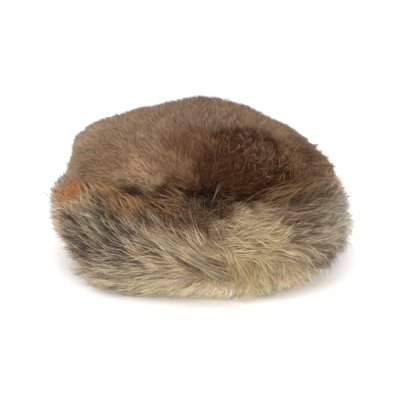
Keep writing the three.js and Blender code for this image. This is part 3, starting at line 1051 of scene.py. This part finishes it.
crownFur = {
    "hairs": 37000,  # on each side
    "clumps": 5200,
    "length": 11,
    "shortest": 3,  # how far forward a hair reaches at least
    "depth": 6,
    "lengths": (0.9, 1.15),
    "runs": (0.5, 1.1),  # the share of its clump's reach forward that a hair takes
    "width": 0.95,
    "flatness": 0.7,
    "clumpSpread": 1.4,
    "pull": 0.45,
    "tipSpread": 1.0,
    "tipLift": 1.1,
    "clumpLift": 0.9,
    "lump": 0.5,  # how far wide stretches stand higher and lower
    "strays": 0.08,
    "strayHeight": (0.5, 3),
    "swing": (0.4, 0.28),  # radians by which neighbours turn together, and single clumps
    "bend": 0,  # share of its length by which a hair bows out
    "bendAt": 0.55,
    "sway": 0.6,  # the chance bow aside, as a share of that
    "sink": 1.3,  # how far most tips stay under the form
    "source": (4, -128, 78),  # the hair lies away from here
    "toneSpread": (0.13, 0.24),
    "taper": ((0, 0.5, 1), (1, 0.9, 0)),
}
crownGuard = dict(crownFur, hairs=5200, clumps=2600, length=15, width=0.55, clumpSpread=3, pull=0.2,
                  tipLift=1.5, bend=0.1)
# where the pile lies lower than the form
flatSpots = (
    # name, x, y, z, reach, how much lower
    ("right shoulder", 108, -6, 97, 20, 4.5),
    ("behind the hollow", 73, 10, 121, 22, 1.6),
    ("left of the peak", -38, 8, 138, 18, 1.8),
)
crownRipple = makeRipple(30, 3)
crownLump = makeRipple(24, 4)


def crownFrame(turn, rise):
    # a point on the crown and the way out of it, from small steps both ways
    small = 1e-3
    at = crownPoint(turn, rise, 0)
    across = crownPoint(turn + small, rise, 0) - crownPoint(turn - small, rise, 0)
    upward = crownPoint(turn, np.minimum(rise + small, 0.999), 0) - crownPoint(turn, rise - small, 0)
    return at, unit(np.cross(across, upward))


def crownHairs(side, spec):
    # Spikes in clumps that lie away from the source, each clump turned a little from the next. A hair rises
    # from its root to the form as far as its clump does, and runs forward by the rest of its length.
    turns = np.radians(np.linspace(0, 180, 121)) * side
    rises = np.linspace(-0.04, 0.998, 61)
    roots = spreadOver(lambda turn, rise: crownPoint(turn, rise, 0), turns, rises, spec["clumps"])
    at, out = crownFrame(*roots)
    lie = at - np.array(spec["source"])
    lie = unit(lie - (lie * out).sum(-1, keepdims=True) * out)
    swing = spec["swing"][0] * crownRipple(at) + rng.normal(0, spec["swing"][1], len(at))
    lie = unit(lie + swing[:, None] * np.cross(out, lie))
    aside = np.cross(out, lie)
    rise = spec["depth"] - spec["sink"] + rng.normal(0, spec["clumpLift"], len(at))
    rise = rise + spec["lump"] * crownLump(at)
    for _, x, y, z, reach, lower in flatSpots:
        rise = rise - lower * ballBell(at, (x, y, z), reach)
    length = spec["length"] * rng.uniform(*spec["lengths"], len(at))
    run = np.sqrt(np.maximum(length ** 2 - rise ** 2, spec["shortest"] ** 2))

    count = spec["hairs"]
    own = rng.integers(0, spec["clumps"], count)
    out, lie, aside = out[own], lie[own], aside[own]
    offAhead, offAside = rng.normal(0, spec["clumpSpread"], (2, count, 1))
    offset = offAhead * lie + offAside * aside
    root = at[own] - spec["depth"] * out + offset
    up = rise[own] + rng.normal(0, spec["tipLift"], count)
    up = up + (rng.random(count) < spec["strays"]) * rng.uniform(*spec["strayHeight"], count)
    forward = run[own] * rng.uniform(*spec["runs"], count)
    tip = (root + up[:, None] * out + forward[:, None] * lie - spec["pull"] * offset
           + rng.normal(0, spec["tipSpread"], (count, 1)) * aside)
    stations = [root, tip]
    if spec["bend"]:
        # a longer hair has a bowed middle
        arch = spec["bend"] * np.linalg.norm(tip - root, axis=1, keepdims=True)
        sway = rng.normal(0, spec["sway"], (count, 1)) * arch
        stations.insert(1, root + spec["bendAt"] * (tip - root) + arch * out + sway * aside)
    return np.stack(stations, axis=1), np.stack([out] * len(stations), axis=1), own


def makeCrownFur(name, side, spec):
    # each station of a hair takes its tones from the patches where it is
    paths, outward, own = crownHairs(side, spec)
    share = np.linspace(0, 1, paths.shape[1])
    tones = hairTones(crownTones(paths), (own,), spec["toneSpread"])
    girth = hairGirth(spec["width"], len(paths), share, spec["taper"])
    return hairMesh(name, paths, share, outward, girth, spec["flatness"], tones, plush)


crownFurPieces = [
    makeCrownFur("crown_left_fur", -1, crownFur), makeCrownFur("crown_right_fur", 1, crownFur),
    makeCrownFur("crown_left_guard", -1, crownGuard), makeCrownFur("crown_right_guard", 1, crownGuard),
]

# Curly guard hairs, which show on the crown's dark patch and beside it

curls = {
    "length": 12.5,
    "lengths": (0.5, 1.2),
    "width": 0.27,
    "flatness": 0.8,
    "stations": 7,
    "flatter": (0.7, 0.5, 0.5),  # share of a patch's reach each way
    "bend": 0.5,  # radians that a curl turns through, most of them less
    "wave": 0.75,  # radians that it swings to and fro on its way
    "waves": (9, 7),  # how fast that turns with the first heading, and radians from root to tip
    "arch": 2.2,  # radians of the sine by which it stands off the crown
    "depth": 3.5,  # from the crown's form down to the roots
    "out": 0.5,
    "unevenOut": 0.9,
    "toneSpread": 0.18,
    "rootTone": 0.55,  # share of the tip's tone
    "taper": ((0, 0.5, 1), (0.7, 1, 0)),
    "patches": (
        # name, x, y, z, reach, hairs, heading from the way to the right, spread of the heading, tone
        ("above the dark patch", 29, -90, 114, 12, 56, 30, 50, (200, 160, 130)),
        ("below the hollow", 52, -82, 112, 12, 44, 44, 50, (172, 132, 99)),
        ("dark patch", 54, -92, 109, 15, 100, 36, 30, (184, 140, 104)),
        ("right of the dark patch", 76, -74, 103, 15, 90, 40, 36, (184, 142, 106)),
        ("lower dark patch", 47, -105, 101, 15, 50, 32, 22, (164, 122, 88)),
        ("front", 12, -104, 106, 22, 26, 70, 40, (140, 102, 74)),
        ("right edge", 104, -52, 90, 14, 50, 10, 30, (184, 148, 112)),
    ),
}


def makeCurls(name):
    # A curl is a wavy arc on the crown: its heading turns evenly along it, with a sine added whose start
    # follows from the heading. The crown's frame at its root carries it, and it is laid back on the crown.
    spec = curls
    share = np.linspace(0, 1, spec["stations"])
    allPaths, allOut, tones = [], [], []
    for _, x, y, z, reach, hairs, lean, leanSpread, tone in spec["patches"]:
        spot = np.array([x, y, z]) + rng.normal(0, 1, (hairs, 3)) * reach * np.array(spec["flatter"])
        turn = turnOf(spot)
        at, out = crownFrame(turn, np.clip(riseOf(turn, spot[:, 2]), 0.02, 0.9))
        right = unit(np.cross(np.array([0, 0, 1]), out))
        up = np.cross(out, right)
        start = np.radians(rng.normal(lean, leanSpread, hairs))[:, None]
        bend = rng.normal(0, spec["bend"], hairs)[:, None]
        first, onward = spec["waves"]
        angle = start + bend * share + spec["wave"] * np.sin(first * start + onward * share)
        step = spec["length"] * rng.uniform(*spec["lengths"], hairs)[:, None] / (len(share) - 1)
        ahead = np.cumsum(np.cos(angle) * step, axis=1)
        above = np.cumsum(np.sin(angle) * step, axis=1)
        tipOut = spec["out"] + rng.normal(0, spec["unevenOut"], hairs)[:, None]
        lift = -spec["depth"] + (spec["depth"] + tipOut) * np.sin(share * spec["arch"])
        flat = at[:, None] + ahead[..., None] * right[:, None] + above[..., None] * up[:, None]
        turn = turnOf(flat)
        on, off = crownFrame(turn, np.clip(riseOf(turn, flat[..., 2]), 0, 0.94))
        allPaths.append(on + lift[..., None] * off)
        allOut.append(off)
        tones.append(plainTones(tone, hairs, len(share), spec["toneSpread"]))
    paths = np.concatenate(allPaths)
    tips = np.concatenate(tones)
    girth = hairGirth(spec["width"], len(paths), share, spec["taper"])
    tones = {"tipTone": tips, "rootTone": tips * spec["rootTone"]}
    return hairMesh(name, paths, share, np.concatenate(allOut), girth, spec["flatness"], tones,
                    longFur)


crownFurPieces.append(makeCurls("crown_curls"))

# Single tufts and wisps that stand out from the rest

tuftRows = (
    # name, root, tip, rise of the bow, spread at the root, spread at the tip, hairs, width, tone
    ("bright tuft", (8, -122, 80), (18, -114, 101), 4, 1.6, 2.6, 2, 0.34, (196, 168, 140)),
    ("tuft below it", (-2, -132, 60), (7, -127, 76), 4, 6.0, 7.0, 14, 0.4, (156, 124, 98)),
    ("tongue of straw", (4, -136, 62), (26, -130, 69), 3, 8.0, 9.0, 26, 0.4, (204, 178, 140)),
    ("tongue of straw low", (2, -141, 52), (24, -138, 56), 3, 8.0, 9.0, 20, 0.4, (208, 184, 144)),
    ("draped lock", (-42, -104, 97), (-33, -117, 89), 4, 7.0, 6.0, 20, 0.5, (176, 144, 110)),
    ("draped lock right", (-28, -110, 91), (-9, -127, 79), 4, 9.0, 9.0, 12, 0.36, (176, 140, 104)),
    ("strands across the brown", (-14, -129, 79), (-47, -117, 83), 5, 9.0, 10.0, 20, 0.32, (172, 134, 95)),
    # dark strands in the seam are dark hair laid there as painted shadow of the seam
    ("dark strands in the seam", (-50, -110, 84), (-66, -102, 87.5), 4, 4.5, 4.5, 36, 0.5, (84, 55, 42)),
    ("edge strands left", (-66, -102, 77), (-88, -84, 87), 5, 8.0, 7.0, 26, 0.45, (192, 146, 100)),
    ("ridge low", (21, -140, 22), (-8, -147, 41), 5, 8.0, 6.0, 60, 0.6, (206, 184, 148)),
    ("ridge", (9, -142, 33), (-24, -144, 52), 5, 8.0, 7.0, 70, 0.6, (206, 184, 150)),
    ("ridge high", (-14, -142, 44), (-46, -136, 61), 4, 8.0, 8.0, 50, 0.55, (200, 180, 150)),
    ("edge strands right", (52, -116, 80), (84, -97, 88), 4, 9.0, 9.0, 40, 0.42, (152, 116, 82)),
    ("edge strands further right", (78, -101, 80), (106, -74, 88), 4, 9.0, 9.0, 40, 0.42, (154, 122, 91)),
    ("long light hair", (44, -114, 80), (69, -108, 92), 4, 2.0, 1.5, 3, 0.45, (160, 130, 94)),
    ("top right tuft", (82, -38, 104), (104, -20, 105), 1, 6.0, 2.4, 80, 0.6, (152, 120, 92)),
    ("small tuft above", (74, -30, 110), (96, -15, 109), 1, 6.0, 2.4, 50, 0.5, (154, 122, 96)),
    ("small tuft between", (86, -42, 100), (108, -24, 99.5), 1, 6.0, 2.4, 60, 0.55, (154, 121, 93)),
    ("right tuft", (88, -46, 97), (113, -25, 94.5), 2, 6.0, 2.4, 80, 0.6, (150, 116, 88)),
    ("right tuft below", (94, -50, 90), (118, -28, 88), 2, 6.0, 2.4, 80, 0.6, (160, 127, 96)),
    ("right edge tuft", (98, -62, 80), (121, -38, 74), 4, 7.0, 5.0, 60, 0.6, (184, 156, 124)),
    ("right edge strands", (108, -62, 58), (131, -34, 62), 3, 12.0, 14.0, 50, 0.45, (206, 190, 166)),
    ("right edge strands low", (108, -64, 36), (134, -34, 38), 3, 12.0, 14.0, 50, 0.45, (212, 198, 178)),
    ("left wisp", (-112, -72, 50), (-134, -40, 57), 4, 7.0, 7.0, 12, 0.4, (186, 164, 140)),
    ("whorl bits", (-3, -131, 72), (0, -138, 73), 2, 14.0, 15.0, 84, 0.34, (134, 101, 74)),
    ("whorl bits right", (15, -127, 78), (19, -133, 79), 2, 12.0, 13.0, 44, 0.34, (122, 92, 65)),
    ("left wisp low", (-95, -76, 4), (-117, -60, 4), 2, 5.0, 5.0, 8, 0.34, (176, 154, 132)),
    ("orange wisp out", (-118, -54, 64), (-138, -24, 71), 4, 7.0, 6.0, 16, 0.5, (196, 138, 90)),
    ("bottom wisp", (26, -122, 10), (31, -134, 2), 3, 3.0, 4.0, 5, 0.4, (206, 186, 152)),
)
tuftForm = {
    "stations": 5,
    "flatness": 0.7,
    "middle": (0, 0, 40),  # tufts bow away from here
    "lengths": (0.7, 1.05),
    "bows": (0.5, 1.2),
    "toneSpread": 0.16,
    "rootTone": 0.5,
    "taper": ((0, 0.5, 1), (0.8, 1, 0)),
}


def makeTufts(name):
    # each hair is a bow from near the tuft's root to near its tip: a parabola that rises off the middle
    spec = tuftForm
    share = np.linspace(0, 1, spec["stations"])
    allPaths, allOut, tones, girths = [], [], [], []
    for _, root, tip, bow, rootSpread, tipSpread, hairs, width, tone in tuftRows:
        start = np.array(root) + rng.normal(0, 0.5, (hairs, 3)) * rootSpread
        end = np.array(tip) + rng.normal(0, 0.5, (hairs, 3)) * tipSpread
        run = (end - start) * rng.uniform(*spec["lengths"], (hairs, 1))
        outward = unit(start + run / 2 - np.array(spec["middle"]))
        arch = bow * rng.uniform(*spec["bows"], (hairs, 1)) * 4 * share * (1 - share)
        path = start[:, None] + run[:, None] * share[:, None] + arch[..., None] * outward[:, None]
        path[..., 2] = softFloor(path[..., 2])
        allPaths.append(path)
        allOut.append(np.repeat(outward[:, None], len(share), axis=1))
        tones.append(plainTones(tone, hairs, len(share), spec["toneSpread"]))
        girths.append(hairGirth(width, hairs, share, spec["taper"]))
    paths, outward, tips, girth = [np.concatenate(each) for each in (allPaths, allOut, tones, girths)]
    tones = {"tipTone": tips, "rootTone": tips * spec["rootTone"]}
    return hairMesh(name, paths, share, outward, girth, spec["flatness"], tones, longFur)


crownFurPieces.append(makeTufts("tufts"))
print("fur made")

# What moves with what

for piece in [crownPeltPiece, *crownFurPieces]:
    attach(piece, "root")
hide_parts("crown")
for name, pelt in zip(("left", "right"), bandPeltPieces):
    for piece in [pelt, *bandFurPieces[name]]:
        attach(piece, "root")
    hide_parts("band_" + name)

# Studio

studio = {
    "floorSize": 40,
    "floorTones": (0.93, 0.95),
    "floorRoughness": 0.9,
    "world": 1.2,
    "keyPower": 14,
    "keySize": 1.6,
    "keyPlace": (-0.3, -0.7, 1.5),
    "fillPower": 27,
    "fillPlace": (0.2, -2.2, 0.3),
}
camera = {
    "aimHeight": 65,  # this point on the axis, in millimetres, stands at aimPixel
    "aimPixel": (201, 182),
    "elevation": 14,
    "distance": 800,
    "focalPixels": 866,
    "framePixels": 400,
    "sensor": 36,
}


def makeFloor():
    half = studio["floorSize"] / 2
    mesh = bpy.data.meshes.new("floor")
    corners = [(-half, -half, 0), (half, -half, 0), (half, half, 0), (-half, half, 0)]
    mesh.from_pydata(corners, [], [(0, 1, 2, 3)])
    shader = Shader("floor")
    grain = shader.noise(3, 2)
    tone = shader.mix(grain, *[grey(level) for level in studio["floorTones"]])
    look = {"Base Color": tone, "Roughness": studio["floorRoughness"], "Specular IOR Level": 0.1}
    mesh.materials.append(shader.finish(look))
    floor = bpy.data.objects.new("floor", mesh)
    bpy.context.scene.collection.objects.link(floor)


def makeLight(name, power, size, spot):
    # a square lamp that faces the origin
    light = bpy.data.lights.new(name, "AREA")
    light.energy = power
    light.size = size
    lamp = bpy.data.objects.new(name, light)
    lamp.location = spot
    away = lamp.location.normalized()
    lamp.rotation_euler = away.to_track_quat("Z", "Y").to_euler()
    bpy.context.scene.collection.objects.link(lamp)


def makeCamera():
    # the camera looks at the aim point from its elevation, then turns by the pixels that the point is off
    spec = camera
    data = bpy.data.cameras.new("camera")
    data.sensor_width = spec["sensor"]
    data.lens = spec["focalPixels"] / spec["framePixels"] * spec["sensor"]
    data.clip_end = 100
    eye = bpy.data.objects.new("camera", data)
    elevation = math.radians(spec["elevation"])
    middle = spec["framePixels"] / 2
    pitch = elevation + math.atan((middle - spec["aimPixel"][1]) / spec["focalPixels"])
    yaw = math.atan((spec["aimPixel"][0] - middle) / spec["focalPixels"])
    eye.location = (0, -spec["distance"] * math.cos(elevation) * mm,
                    (spec["aimHeight"] + spec["distance"] * math.sin(elevation)) * mm)
    eye.rotation_euler = (math.pi / 2 - pitch, 0, yaw)
    bpy.context.scene.collection.objects.link(eye)
    bpy.context.scene.camera = eye


def makeWorld():
    world = bpy.data.worlds.new("studio")
    world.use_nodes = True
    background = world.node_tree.nodes["Background"]
    background.inputs["Color"].default_value = grey(1)
    background.inputs["Strength"].default_value = studio["world"]
    bpy.context.scene.world = world


makeFloor()
makeLight("key", studio["keyPower"], studio["keySize"], studio["keyPlace"])
makeLight("fill", studio["fillPower"], studio["keySize"], studio["fillPlace"])
makeCamera()
makeWorld()
bpy.context.scene.view_settings.view_transform = "Standard"
print("studio set")
